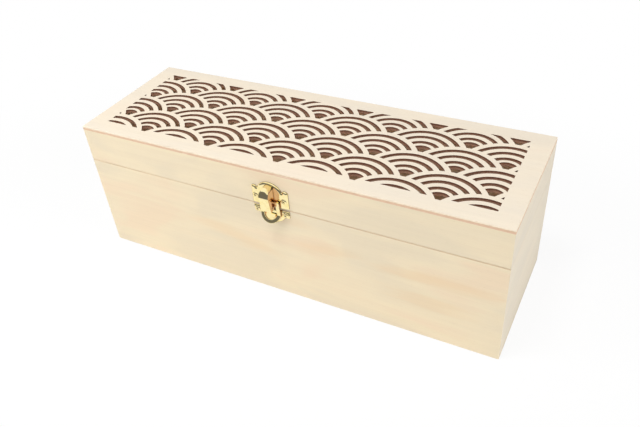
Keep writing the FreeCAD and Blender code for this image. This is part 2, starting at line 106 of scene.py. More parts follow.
class Tree:
    """A node tree with short calls for adding nodes and linking them."""

    def __init__(self, tree):
        self.tree = tree

    def add(self, kind, label=None, **settings):
        node = self.tree.nodes.new(kind)
        if label:
            node.label = label
        for key, value in settings.items():
            setattr(node, key, value)
        return node

    def link(self, source, target):
        self.tree.links.new(source, target)

    def feed(self, socket, value):
        """Links a socket to another, or sets its plain value."""
        if isinstance(value, bpy.types.NodeSocket):
            self.link(value, socket)
        else:
            socket.default_value = value

    def math(self, operation, *values, clamp=False):
        node = self.add("ShaderNodeMath", operation=operation, use_clamp=clamp)
        for socket, value in zip(node.inputs, values):
            self.feed(socket, value)
        return node.outputs[0]

    def vector(self, operation, *values):
        node = self.add("ShaderNodeVectorMath", operation=operation)
        for socket, value in zip(node.inputs, values):
            self.feed(socket, value)
        return node.outputs["Value"] if operation in ("LENGTH", "DOT_PRODUCT") else node.outputs["Vector"]

    def blend(self, factor, first, second, mode="MIX"):
        node = self.add("ShaderNodeMix", data_type="RGBA", blend_type=mode)
        self.feed(node.inputs["Factor"], factor)
        self.feed(node.inputs["A"], first)
        self.feed(node.inputs["B"], second)
        # the colour sockets of a Mix node come after its float and vector sockets
        return node.outputs[2]

    def step(self, value, low, high, out_low=0.0, out_high=1.0):
        """A smooth step from low to high."""
        node = self.add("ShaderNodeMapRange", interpolation_type="SMOOTHSTEP")
        self.feed(node.inputs["Value"], value)
        self.feed(node.inputs["From Min"], low)
        self.feed(node.inputs["From Max"], high)
        self.feed(node.inputs["To Min"], out_low)
        self.feed(node.inputs["To Max"], out_high)
        return node.outputs["Result"]

    def noise(self, vector, scale, detail=2.0, roughness=0.5, distortion=0.0):
        node = self.add("ShaderNodeTexNoise")
        self.feed(node.inputs["Vector"], vector)
        self.feed(node.inputs["Scale"], scale)
        self.feed(node.inputs["Detail"], detail)
        self.feed(node.inputs["Roughness"], roughness)
        self.feed(node.inputs["Distortion"], distortion)
        return node.outputs["Fac"]


def colour(red, green, blue):
    """A colour given in display values from 0 to 255, as the linear colour that nodes use."""
    def linear(value):
        value /= 255.0
        return value / 12.92 if value <= 0.04045 else ((value + 0.055) / 1.055) ** 2.4
    return (linear(red), linear(green), linear(blue), 1.0)


def new_group(name, inputs, outputs):
    group = bpy.data.node_groups.new(name, "ShaderNodeTree")
    for socket_name, socket_type, value in inputs:
        socket = group.interface.new_socket(name=socket_name, in_out="INPUT", socket_type=socket_type)
        if value is not None:
            socket.default_value = value
    for socket_name, socket_type in outputs:
        group.interface.new_socket(name=socket_name, in_out="OUTPUT", socket_type=socket_type)
    tree = Tree(group)
    return group, tree, tree.add("NodeGroupInput").outputs, tree.add("NodeGroupOutput").inputs


FLOAT = "NodeSocketFloat"
COLOUR = "NodeSocketColor"
VECTOR = "NodeSocketVector"


# Wood grain, all running along X: faint growth bands round a far pith, fine fibres, short pores,
# and broad patches where the wood is greyer or more peach

def make_grain_group():
    group, tree, given, out = new_group(
        "Wood grain",
        [
            ("Vector", VECTOR, None),
            ("Pith Distance", FLOAT, 160.0),
            ("Band Spacing", FLOAT, 7.0),
            ("Band Wander", FLOAT, 9.0),
            ("Pale", COLOUR, (0.8, 0.7, 0.5, 1.0)),
            ("Band Tint", COLOUR, (0.7, 0.6, 0.4, 1.0)),
            ("Grey Tint", COLOUR, (0.7, 0.65, 0.55, 1.0)),
            ("Peach Tint", COLOUR, (0.8, 0.6, 0.5, 1.0)),
            ("Pore Tint", COLOUR, (0.5, 0.4, 0.3, 1.0)),
            ("Band Amount", FLOAT, 0.5),
            ("Patch Amount", FLOAT, 0.5),
            ("Pore Amount", FLOAT, 0.4),
        ],
        [("Color", COLOUR), ("Roughness", FLOAT), ("Height", FLOAT)],
    )
    vector = given["Vector"]
    across = tree.vector("MULTIPLY", vector, (0.0, 1.0, 1.0))
    drawn_out = tree.vector("MULTIPLY", vector, (0.12, 1.0, 1.0))
    wander = tree.math("SUBTRACT", tree.noise(drawn_out, 0.022, 2.0, 0.45), 0.5)
    pith = tree.add("ShaderNodeCombineXYZ")
    tree.feed(pith.inputs["Y"], tree.math("MULTIPLY", given["Pith Distance"], 0.62))
    tree.feed(pith.inputs["Z"], tree.math("MULTIPLY", given["Pith Distance"], -0.78))
    radius = tree.vector("LENGTH", tree.vector("SUBTRACT", across, pith.outputs["Vector"]))
    radius = tree.math("ADD", radius, tree.math("MULTIPLY", wander, tree.math("MULTIPLY", given["Band Wander"], 4.0)))
    ring = tree.math("FRACT", tree.math("DIVIDE", radius, given["Band Spacing"]))
    late = tree.math("MULTIPLY", tree.step(ring, 0.1, 0.86), tree.step(ring, 1.0, 0.9))
    patchy = tree.noise(tree.vector("MULTIPLY", vector, (0.2, 1.0, 1.0)), 0.05, 2.0, 0.5)
    band = tree.math("MULTIPLY", late, tree.step(patchy, 0.32, 0.68, 0.25, 1.0))
    band = tree.math("MULTIPLY", band, given["Band Amount"])

    fibre = tree.noise(tree.vector("MULTIPLY", vector, (0.018, 1.0, 1.0)), 1.35, 4.0, 0.62)
    streak = tree.noise(tree.vector("MULTIPLY", vector, (0.03, 1.0, 1.0)), 0.24, 2.0, 0.5)
    broad = tree.noise(tree.vector("MULTIPLY", vector, (0.4, 1.0, 1.0)), 0.028, 2.0, 0.5, 0.5)
    grey_patch = tree.math("MULTIPLY", tree.step(broad, 0.56, 0.38), given["Patch Amount"])
    peach_patch = tree.math("MULTIPLY", tree.step(broad, 0.54, 0.7), given["Patch Amount"])
    pore = tree.noise(tree.vector("MULTIPLY", vector, (0.10, 1.0, 1.0)), 2.6, 1.0, 0.5)
    pore = tree.math("MULTIPLY", tree.step(pore, 0.66, 0.78), given["Pore Amount"])

    tint = tree.blend(band, given["Pale"], given["Band Tint"])
    tint = tree.blend(grey_patch, tint, given["Grey Tint"])
    tint = tree.blend(peach_patch, tint, given["Peach Tint"])
    shade = tree.math("ADD", tree.step(fibre, 0.25, 0.75, 0.982, 1.01), tree.step(streak, 0.3, 0.7, -0.01, 0.008))
    grey = tree.add("ShaderNodeCombineColor")
    for channel in ("Red", "Green", "Blue"):
        tree.feed(grey.inputs[channel], shade)
    tint = tree.blend(1.0, tint, grey.outputs["Color"], "MULTIPLY")
    tint = tree.blend(pore, tint, given["Pore Tint"])
    tree.feed(out["Color"], tint)
    tree.feed(out["Roughness"], tree.step(fibre, 0.2, 0.8, 0.62, 0.74))
    relief = tree.math("SUBTRACT", tree.math("MULTIPLY", fibre, 0.6), tree.math("MULTIPLY", pore, 0.8))
    tree.feed(out["Height"], tree.math("ADD", relief, tree.math("MULTIPLY", band, 0.3)))
    return group


GRAIN = make_grain_group()


# Heart streak: a soft long patch of richer wood, frayed along the grain. Its vector is centred on the
# streak and divided by its half length and half height

def make_streak_group():
    group, tree, given, out = new_group(
        "Heart streak",
        [("Vector", VECTOR, None), ("Fray Vector", VECTOR, None), ("Strength", FLOAT, 1.0)],
        [("Mask", FLOAT)],
    )
    frayed = tree.noise(tree.vector("MULTIPLY", given["Fray Vector"], (0.12, 1.0, 1.0)), 0.16, 3.0, 0.55)
    reach = tree.math("ADD", tree.vector("LENGTH", given["Vector"]), tree.math("MULTIPLY", tree.math("SUBTRACT", frayed, 0.5), 1.5))
    tree.feed(out["Mask"], tree.math("MULTIPLY", tree.step(reach, 1.15, 0.2), given["Strength"]))
    return group


HEART_STREAK = make_streak_group()


# Plywood edge: three plies through a height in millimetres, with a dark glue line between them

def make_ply_group():
    group, tree, given, out = new_group(
        "Plywood edge",
        [
            ("Height", FLOAT, 0.0),
            ("Thickness", FLOAT, 3.0),
            ("Vector", VECTOR, None),
            ("Face Ply", COLOUR, (0.8, 0.7, 0.5, 1.0)),
            ("Core Ply", COLOUR, (0.7, 0.5, 0.35, 1.0)),
            ("Glue", COLOUR, (0.5, 0.35, 0.2, 1.0)),
        ],
        [("Color", COLOUR), ("Core", FLOAT)],
    )
    wobble = tree.noise(given["Vector"], 0.35, 2.0, 0.5)
    level = tree.math("DIVIDE", given["Height"], given["Thickness"])
    level = tree.math("ADD", level, tree.math("MULTIPLY", tree.math("SUBTRACT", wobble, 0.5), 0.07))
    core = tree.step(level, 0.64, 0.54)
    glue = tree.math("MULTIPLY", tree.step(core, 0.1, 0.5), tree.step(core, 0.95, 0.6))
    ends = tree.noise(tree.vector("MULTIPLY", given["Vector"], (0.3, 0.3, 1.0)), 1.2, 3.0, 0.6)
    tint = tree.blend(core, given["Face Ply"], given["Core Ply"])
    tint = tree.blend(tree.math("MULTIPLY", tree.step(ends, 0.45, 0.7), 0.28), tint, given["Glue"])
    tint = tree.blend(tree.math("MULTIPLY", glue, 0.45), tint, given["Glue"])
    breaks = tree.noise(tree.vector("MULTIPLY", given["Vector"], (0.09, 0.09, 0.6)), 1.0, 2.0, 0.5)
    tint = tree.blend(tree.math("MULTIPLY", tree.step(breaks, 0.6, 0.68), 0.5), tint, given["Face Ply"])
    tree.feed(out["Color"], tint)
    tree.feed(out["Core"], core)
    return group


PLY_EDGE = make_ply_group()


# Material builders

INNER_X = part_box("right_end_panel")[0].x / MM
INNER_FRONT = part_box("front_panel")[1].y / MM
INNER_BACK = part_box("back_panel")[0].y / MM
JOINT_Z = (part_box("front_panel")[1].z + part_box("lid_front_rail")[0].z) / 2.0 / MM
WOOD_PALE = colour(243, 227, 196)
WOOD_BAND = colour(232, 212, 182)
WOOD_GREY = colour(232, 218, 192)
WOOD_PEACH = colour(243, 218, 188)
WOOD_PORE = colour(206, 178, 143)
WOOD_HEART = colour(238, 205, 162)


def new_material(name):
    material = bpy.data.materials.new(name)
    material.use_nodes = True
    tree = Tree(material.node_tree)
    material.node_tree.nodes.clear()
    surface = tree.add("ShaderNodeBsdfPrincipled")
    output = tree.add("ShaderNodeOutputMaterial")
    tree.link(surface.outputs["BSDF"], output.inputs["Surface"])
    return material, tree, surface


def place(tree, turn=(0.0, 0.0, 0.0), shift_mm=(0.0, 0.0, 0.0)):
    """Object coordinates in millimetres, turned so that X runs along the grain."""
    where = tree.add("ShaderNodeTexCoord")
    mapping = tree.add("ShaderNodeMapping")
    tree.link(where.outputs["Object"], mapping.inputs["Vector"])
    mapping.inputs["Scale"].default_value = (1000.0, 1000.0, 1000.0)
    mapping.inputs["Rotation"].default_value = [math.radians(angle) for angle in turn]
    mapping.inputs["Location"].default_value = shift_mm
    return mapping.outputs["Vector"]


def grain(tree, vector, pith=160.0, spacing=7.0, wander=9.0, pale=WOOD_PALE, band=WOOD_BAND,
          grey=WOOD_GREY, peach=WOOD_PEACH, pore=WOOD_PORE, amounts=(0.16, 0.55, 0.22)):
    node = tree.add("ShaderNodeGroup", node_tree=GRAIN)
    tree.link(vector, node.inputs["Vector"])
    node.inputs["Pith Distance"].default_value = pith
    node.inputs["Band Spacing"].default_value = spacing
    node.inputs["Band Wander"].default_value = wander
    node.inputs["Pale"].default_value = pale
    node.inputs["Band Tint"].default_value = band
    node.inputs["Grey Tint"].default_value = grey
    node.inputs["Peach Tint"].default_value = peach
    node.inputs["Pore Tint"].default_value = pore
    for key, value in zip(("Band Amount", "Patch Amount", "Pore Amount"), amounts):
        node.inputs[key].default_value = value
    return node.outputs


def bump(tree, surface, height, depth_mm, strength=1.0):
    node = tree.add("ShaderNodeBump")
    node.inputs["Strength"].default_value = strength
    node.inputs["Distance"].default_value = depth_mm * MM
    tree.link(height, node.inputs["Height"])
    tree.link(node.outputs["Normal"], surface.inputs["Normal"])


def own_normal(tree):
    """The face's direction in the piece's own axes, which turns with its joint."""
    geometry = tree.add("ShaderNodeNewGeometry")
    turned = tree.add("ShaderNodeVectorTransform", vector_type="NORMAL",
                      convert_from="WORLD", convert_to="OBJECT")
    tree.link(geometry.outputs["True Normal"], turned.inputs["Vector"])
    split = tree.add("ShaderNodeSeparateXYZ")
    tree.link(turned.outputs["Vector"], split.inputs["Vector"])
    return split


def split_place(tree):
    """The place on the piece in millimetres, as three values."""
    split = tree.add("ShaderNodeSeparateXYZ")
    tree.link(place(tree), split.inputs["Vector"])
    return split


def painted_light_inside(tree, tint):
    """Painted light: inner faces are paler and warmer than the outer ones, standing in for the light that falls on
    them through the cuts of the lid.
    """
    where = split_place(tree)
    across = tree.step(tree.math("ABSOLUTE", where.outputs["X"]), INNER_X + 0.2, INNER_X + 0.1)
    behind = tree.step(where.outputs["Y"], INNER_FRONT - 0.2, INNER_FRONT - 0.1)
    before = tree.step(where.outputs["Y"], INNER_BACK + 0.2, INNER_BACK + 0.1)
    inside = tree.math("MULTIPLY", across, tree.math("MULTIPLY", behind, before))
    return tree.blend(tree.math("MULTIPLY", inside, 0.85), tint, colour(252, 228, 200))


def joint_painted_shade(tree, tint):
    """Painted shade: brown in the joint between lid and box, on the front and back only."""
    where = split_place(tree)
    away = tree.math("ABSOLUTE", tree.math("SUBTRACT", where.outputs["Z"], JOINT_Z))
    long_side = tree.step(tree.math("ABSOLUTE", own_normal(tree).outputs["Y"]), 0.6, 0.8)
    patches = tree.noise(tree.vector("MULTIPLY", place(tree), (0.03, 0.03, 0.1)), 1.0, 2.0, 0.5)
    amount = tree.math("MULTIPLY", tree.step(away, 0.6, 0.35), tree.step(patches, 0.35, 0.65, 0.3, 0.65))
    return tree.blend(tree.math("MULTIPLY", long_side, amount), tint, colour(186, 136, 100))


def heart_streak(tree, tint, middle_mm, half_mm, slope, strength):
    """Lays one richer streak on a board that faces the front or the back."""
    where = tree.add("ShaderNodeTexCoord")
    mapping = tree.add("ShaderNodeMapping", vector_type="TEXTURE")
    tree.link(where.outputs["Object"], mapping.inputs["Vector"])
    mapping.inputs["Location"].default_value = (middle_mm[0] * MM, 0.0, middle_mm[1] * MM)
    mapping.inputs["Rotation"].default_value = (0.0, -math.radians(slope), 0.0)
    mapping.inputs["Scale"].default_value = (half_mm[0] * MM, 1.0, half_mm[1] * MM)
    node = tree.add("ShaderNodeGroup", node_tree=HEART_STREAK)
    tree.link(mapping.outputs["Vector"], node.inputs["Vector"])
    tree.link(place(tree), node.inputs["Fray Vector"])
    node.inputs["Strength"].default_value = strength
    return tree.blend(node.outputs["Mask"], tint, WOOD_HEART)


def board_material(name, turn, shift_mm, streaks=(), **look):
    """A plain board whose grain runs along X once turned."""
    material, tree, surface = new_material(name)
    wood = grain(tree, place(tree, turn, shift_mm), **look)
    tint = wood["Color"]
    for streak in streaks:
        tint = heart_streak(tree, tint, *streak)
    # Painted light on the inner faces, then painted shade along the joint between lid and box.
    tint = joint_painted_shade(tree, painted_light_inside(tree, tint))
    tree.link(tint, surface.inputs["Base Color"])
    tree.link(wood["Roughness"], surface.inputs["Roughness"])
    surface.inputs["Specular IOR Level"].default_value = 0.3
    bump(tree, surface, wood["Height"], 0.05)
    return material


def lattice_material():
    """The pierced ply board: pale face, scorched cut walls painted lighter lower down, and a ply line on its outer
    edge.
    """
    material, tree, surface = new_material("lattice_ply")
    vector = place(tree, (0.0, 0.0, 0.0), (40.0, 15.0, 0.0))
    # Face tone: partly the ply's own paler tone, partly painted light, paler and cooler as the top takes light from
    # above.
    face = grain(tree, vector, 420.0, 11.0, 14.0,
                 pale=colour(248, 235, 214), band=colour(240, 224, 200), grey=colour(240, 229, 212),
                 peach=colour(248, 230, 208), amounts=(0.18, 0.5, 0.25))
    where = place(tree)
    split = tree.add("ShaderNodeSeparateXYZ")
    tree.link(where, split.inputs["Vector"])
    low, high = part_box("lid_lattice_panel")
    ply = tree.add("ShaderNodeGroup", node_tree=PLY_EDGE)
    tree.link(tree.math("SUBTRACT", split.outputs["Z"], low.z / MM), ply.inputs["Height"])
    ply.inputs["Thickness"].default_value = (high.z - low.z) / MM
    tree.link(where, ply.inputs["Vector"])
    ply.inputs["Face Ply"].default_value = colour(246, 231, 208)
    ply.inputs["Core Ply"].default_value = colour(230, 195, 164)
    ply.inputs["Glue"].default_value = colour(206, 165, 132)

    upright = tree.step(tree.math("ABSOLUTE", own_normal(tree).outputs["Z"]), 0.75, 0.6)
    inside_x = tree.step(tree.math("ABSOLUTE", split.outputs["X"]), high.x / MM - 0.8, high.x / MM - 1.2)
    inside_y = tree.step(tree.math("ABSOLUTE", split.outputs["Y"]), high.y / MM - 0.8, high.y / MM - 1.2)
    cut_wall_mask = tree.math("MULTIPLY", upright, tree.math("MULTIPLY", inside_x, inside_y))
    soot = tree.noise(where, 0.9, 3.0, 0.6)
    deep = tree.math("SUBTRACT", high.z / MM, split.outputs["Z"])
    deep = tree.math("ADD", deep, tree.math("MULTIPLY", tree.math("SUBTRACT", soot, 0.5), 1.6))
    # Cut walls: dark scorch at the top, painted lighter deeper down as painted light for the lit inside of the box.
    char_and_painted_light = tree.blend(tree.step(deep, 0.6, 2.6), colour(124, 84, 66), colour(196, 154, 130))
    tint = tree.blend(upright, face["Color"], ply.outputs["Color"])
    tint = tree.blend(cut_wall_mask, tint, char_and_painted_light)
    tree.link(tint, surface.inputs["Base Color"])
    tree.link(face["Roughness"], surface.inputs["Roughness"])
    surface.inputs["Specular IOR Level"].default_value = 0.3
    bump(tree, surface, face["Height"], 0.05)
    return material


# Painted light: the inner boards are paler than the outer wood, standing in for light reaching the inside of the box.
def inner_material(name, turn, shift_mm):
    return board_material(
        name, turn, shift_mm, pith=300.0, spacing=9.0, wander=16.0,
        pale=colour(252, 230, 203), band=colour(245, 218, 187), grey=colour(246, 224, 198),
        peach=colour(252, 223, 193), amounts=(0.4, 0.5, 0.4),
    )


def brass_material(name, painted_side_axis, painted_side_from, painted_side_to, painted_side_tint):
    """Polished brass: orange peel from the stamping and fine scratches, with painted shade: warm brown where other
    surfaces close round it, dark brown in its hollows.

    Faces whose direction along painted_side_axis runs from painted_side_from to painted_side_to turn to
    painted_side_tint, as painted light on those sides: a painted reflection where the tint is pale, painted shade
    where it is dark.
    """
    material, tree, surface = new_material(name)
    vector = place(tree)
    peel = tree.noise(vector, 0.55, 1.0, 0.4)
    fine = tree.noise(tree.vector("MULTIPLY", vector, (1.0, 1.0, 0.15)), 9.0, 2.0, 0.5)
    smear = tree.noise(vector, 0.28, 2.0, 0.5)
    tint = tree.blend(tree.step(smear, 0.35, 0.7), colour(254, 238, 182), colour(251, 232, 166))
    # Painted shade: warm brown where other surfaces close round the brass within a few millimetres.
    channel = tree.add("ShaderNodeAmbientOcclusion", samples=8)
    channel.inputs["Distance"].default_value = 3.5 * MM
    tint = tree.blend(tree.step(channel.outputs["AO"], 0.8, 0.25), tint, colour(228, 184, 122))
    # Painted shade: dark brown in the hollows and where the brass meets the wood; these places are also a little
    # rougher.
    hollow = tree.add("ShaderNodeAmbientOcclusion", samples=8)
    hollow.inputs["Distance"].default_value = 0.8 * MM
    painted_hollow_shade = tree.step(hollow.outputs["AO"], 0.8, 0.3)
    tint = tree.blend(painted_hollow_shade, tint, colour(120, 84, 48))
    # Painted light: faces turned along one axis take a set tint, a painted reflection when the tint is pale and
    # painted shade when it is dark.
    painted_side = tree.math("ABSOLUTE", own_normal(tree).outputs[painted_side_axis])
    painted_side = tree.step(painted_side, painted_side_from, painted_side_to)
    tint = tree.blend(painted_side, tint, painted_side_tint)
    tree.link(tint, surface.inputs["Base Color"])
    gloss = tree.step(smear, 0.3, 0.75, 0.05, 0.11)
    tree.link(tree.math("ADD", gloss, tree.math("MULTIPLY", painted_hollow_shade, 0.3)), surface.inputs["Roughness"])
    surface.inputs["Metallic"].default_value = 1.0
    bump(tree, surface, tree.math("ADD", peel, tree.math("MULTIPLY", fine, 0.02)), 0.02)
    return material


# Each board has its own stretch of grain

ALONG_X = (0.0, 0.0, 0.0)
ALONG_Y = (0.0, 0.0, 90.0)
FRONT_TONE = {}
# Painted shade: the end boards and end rails take a greyer, cooler tone than the front, for the weaker, cooler light
# on the ends.
END_PAINTED_SHADE_TONE = {"pale": colour(236, 225, 205), "grey": colour(229, 219, 202), "peach": colour(237, 222, 200)}
BOARDS = {
    "front_panel": (ALONG_X, (0.0, 0.0, 0.0), FRONT_TONE),
    "back_panel": (ALONG_X, (300.0, 40.0, 25.0), FRONT_TONE),
    "left_end_panel": (ALONG_Y, (-140.0, 60.0, 10.0), END_PAINTED_SHADE_TONE),
    "right_end_panel": (ALONG_Y, (220.0, -35.0, 55.0), END_PAINTED_SHADE_TONE),
    "lid_front_rail": (ALONG_X, (35.0, 20.0, 12.0), FRONT_TONE),
    "lid_back_rail": (ALONG_X, (-210.0, 10.0, 70.0), FRONT_TONE),
    "lid_left_rail": (ALONG_Y, (90.0, 15.0, -20.0), END_PAINTED_SHADE_TONE),
    "lid_right_rail": (ALONG_Y, (180.0, -60.0, 30.0), END_PAINTED_SHADE_TONE),
}
# each streak: its middle across and up the board, its half sizes, its slope in degrees, its strength
FRONT_STREAKS = [
    ((-38.0, 47.0), (44.0, 9.0), -11.0, 0.32),
    ((45.0, 58.0), (34.0, 7.0), 8.0, 0.25),
    ((125.0, 58.0), (52.0, 7.0), 1.5, 0.42),
    ((122.0, 34.0), (42.0, 10.0), -2.0, 0.32),
    ((14.0, 76.0), (20.0, 6.0), 0.0, 0.2),
]
INNER_BOARDS = {
    "base_panel": (ALONG_X, (55.0, 30.0, 0.0)),
    "divider_1": (ALONG_Y, (10.0, 80.0, 15.0)),
    "divider_2": (ALONG_Y, (130.0, -40.0, 45.0)),
    "divider_3": (ALONG_Y, (-80.0, 20.0, 75.0)),
}


def dress(node_name, material):
    slots = nodes[node_name].data.materials
    slots.clear()
    slots.append(material)


for node_name, (turn, shift_mm, tone) in BOARDS.items():
    streaks = FRONT_STREAKS if node_name == "front_panel" else ()
    dress(node_name, board_material(node_name + "_wood", turn, shift_mm, streaks, **tone))
for node_name, (turn, shift_mm) in INNER_BOARDS.items():
    dress(node_name, inner_material(node_name + "_wood", turn, shift_mm))
dress("lid_lattice_panel", lattice_material())
# Painted reflection: brass faces turned along X, such as the lever's cheeks, are tinted pinkish tan.
BRASS = brass_material("polished_brass_finish", "X", 0.8, 0.97, colour(214, 178, 160))
# Painted shade: the plates' side walls, square to the front, turn dark brown.
EDGE_SHADED_BRASS = brass_material("sheared_brass_finish", "Y", 0.5, 0.25, colour(128, 94, 58))
BODY_OF = {node: body for body, names in frame["record"]["behaviour"]["bodies"].items() for node in names}


def only(piece):
    """Selects one object and makes it active."""
    bpy.ops.object.select_all(action="DESELECT")
    piece.select_set(True)
    bpy.context.view_layer.objects.active = piece


def apply_modifier(kind, **settings):
    piece = bpy.context.object
    bpy.ops.object.modifier_add(type=kind)
    modifier = piece.modifiers[-1]
    for key, value in settings.items():
        setattr(modifier, key, value)
    bpy.ops.object.modifier_apply(modifier=modifier.name)


def copy_of(node_name, suffix):
    """A selected new object that holds a copy of a node's mesh, with its doubles merged."""
    piece = bpy.data.objects.new(node_name + suffix, nodes[node_name].data.copy())
    scene.collection.objects.link(piece)
    only(piece)
    bpy.ops.object.mode_set(mode="EDIT")
    bpy.ops.mesh.select_all(action="SELECT")
    bpy.ops.mesh.remove_doubles(threshold=0.002 * MM)
    bpy.ops.object.mode_set(mode="OBJECT")
    return piece


def round_edges(edge_mm, sharper_than=32.0, segments=2):
    """Joins the flat triangles of the active piece and rounds the edges sharper than an angle."""
    bpy.ops.object.mode_set(mode="EDIT")
    bpy.ops.mesh.select_all(action="SELECT")
    bpy.ops.mesh.dissolve_limited(angle_limit=math.radians(0.6))
    bpy.ops.object.mode_set(mode="OBJECT")
    if edge_mm:
        apply_modifier("BEVEL", width=edge_mm * MM, segments=segments, limit_method="ANGLE",
                       angle_limit=math.radians(sharper_than), use_clamp_overlap=True)


def finish_brass(piece, node_name, smooth_below=38.0, material=BRASS):
    """Smooths a brass piece up to an angle and lets it stand for its node."""
    only(piece)
    bpy.ops.object.shade_smooth_by_angle(angle=math.radians(smooth_below))
    apply_modifier("WEIGHTED_NORMAL", keep_sharp=True)
    piece.data.materials.clear()
    piece.data.materials.append(material)
    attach(piece, BODY_OF[node_name])
    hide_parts(node_name)


def cut_at(point, direction, fill=True):
    """In edit mode, cuts the whole piece by a plane and clears what lies beyond it."""
    bpy.ops.mesh.select_all(action="SELECT")
    bpy.ops.mesh.bisect(plane_co=point, plane_no=direction, clear_outer=True, use_fill=fill,
                        threshold=0.0001 * MM)


FRONT_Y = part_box("front_panel")[0].y
OUTWARDS = (0.0, -1.0, 0.0)
INWARDS = (0.0, 1.0, 0.0)


def screw_sites(node_name):
    """Middles of the two screws of a latch plate, across and up, and their head radius."""
    low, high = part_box(node_name)
    radius = (high.z - low.z) / 2
    level = (high.z + low.z) / 2
    return [(low.x + radius, level), (high.x - radius, level)], radius


def stamped_plate(node_name, screws, roll_mm, square_below):
    """Sheet plate drawn from the node's outline, its edge rolled up to a flat field.

    roll_mm lists the bands of the rolled edge from the wood upwards, each a width and a rise."""
    sites, _ = screw_sites(screws)
    plate = copy_of(node_name, "_stamped")
    bpy.ops.object.mode_set(mode="EDIT")
    cut_at((0.0, FRONT_Y - 0.3 * MM, 0.0), OUTWARDS, fill=False)
    mesh = bmesh.from_edit_mesh(plate.data)
    bottom = min(vertex.co.z for vertex in mesh.verts)
    bpy.ops.mesh.select_mode(type="EDGE")
    bpy.ops.mesh.select_all(action="DESELECT")
    for edge in mesh.edges:
        middle = (edge.verts[0].co + edge.verts[1].co) / 2
        clear = all(math.dist((middle.x, middle.z), site) > 1.5 * MM for site in sites)
        edge.select_set(edge.is_boundary and clear)
    bpy.ops.mesh.edge_face_add()
    bpy.ops.mesh.select_mode(type="FACE")
    bpy.ops.mesh.select_all(action="INVERT")
    bpy.ops.mesh.delete(type="FACE")
    bpy.ops.mesh.select_all(action="SELECT")
    bpy.ops.mesh.dissolve_limited(angle_limit=math.radians(0.05))
    bpy.ops.mesh.select_all(action="SELECT")
    bpy.ops.mesh.remove_doubles(threshold=0.12 * MM)
    bpy.ops.transform.translate(value=(0.0, 0.3 * MM, 0.0))
    bpy.ops.mesh.select_mode(type="VERT")
    bpy.ops.mesh.select_all(action="DESELECT")
    mesh = bmesh.from_edit_mesh(plate.data)
    for face in mesh.faces:
        for corner in face.loops:
            notch = not corner.is_convex and corner.calc_angle() < math.radians(150.0)
            corner.vert.select_set(notch)
    bpy.ops.mesh.bevel(offset=0.3 * MM, segments=6, affect="VERTICES")
    bpy.ops.mesh.select_mode(type="FACE")
    bpy.ops.mesh.select_all(action="SELECT")
    if square_below:
        bpy.ops.mesh.select_mode(type="VERT")
        bpy.ops.mesh.select_all(action="DESELECT")
        mesh = bmesh.from_edit_mesh(plate.data)
        for vertex in mesh.verts:
            vertex.select_set(vertex.co.z < bottom + 0.05 * MM)
        bpy.ops.transform.translate(value=(0.0, 0.0, -4.0 * MM))
        bpy.ops.mesh.select_mode(type="FACE")
        bpy.ops.mesh.select_all(action="SELECT")
    bpy.ops.mesh.extrude_region_move(TRANSFORM_OT_translate={"value": (0.0, -roll_mm[0][1] * MM, 0.0)})
    bpy.ops.mesh.select_all(action="SELECT")
    bpy.ops.mesh.normals_make_consistent(inside=False)
    bpy.ops.mesh.select_all(action="DESELECT")
    mesh = bmesh.from_edit_mesh(plate.data)
    for face in mesh.faces:
        face.select_set(face.normal.y < -0.9)
    for width, rise in roll_mm[1:]:
        bpy.ops.mesh.inset(thickness=width * MM, depth=rise * MM)
        bpy.ops.mesh.remove_doubles(threshold=0.09 * MM)
    if square_below:
        cut_at((0.0, 0.0, bottom), (0.0, 0.0, -1.0))
    bpy.ops.mesh.select_all(action="SELECT")
    bpy.ops.mesh.normals_make_consistent(inside=False)
    bpy.ops.object.mode_set(mode="OBJECT")

    standing = copy_of(node_name, "_standing")
    rise = sum(band[1] for band in roll_mm)
    bpy.ops.object.mode_set(mode="EDIT")
    cut_at((0.0, FRONT_Y - (rise + 0.001) * MM, 0.0), INWARDS)
    bpy.ops.object.mode_set(mode="OBJECT")
    round_edges(0.15)
    only(plate)
    standing.select_set(True)
    bpy.ops.object.join()
    finish_brass(plate, node_name, material=EDGE_SHADED_BRASS)
    return plate


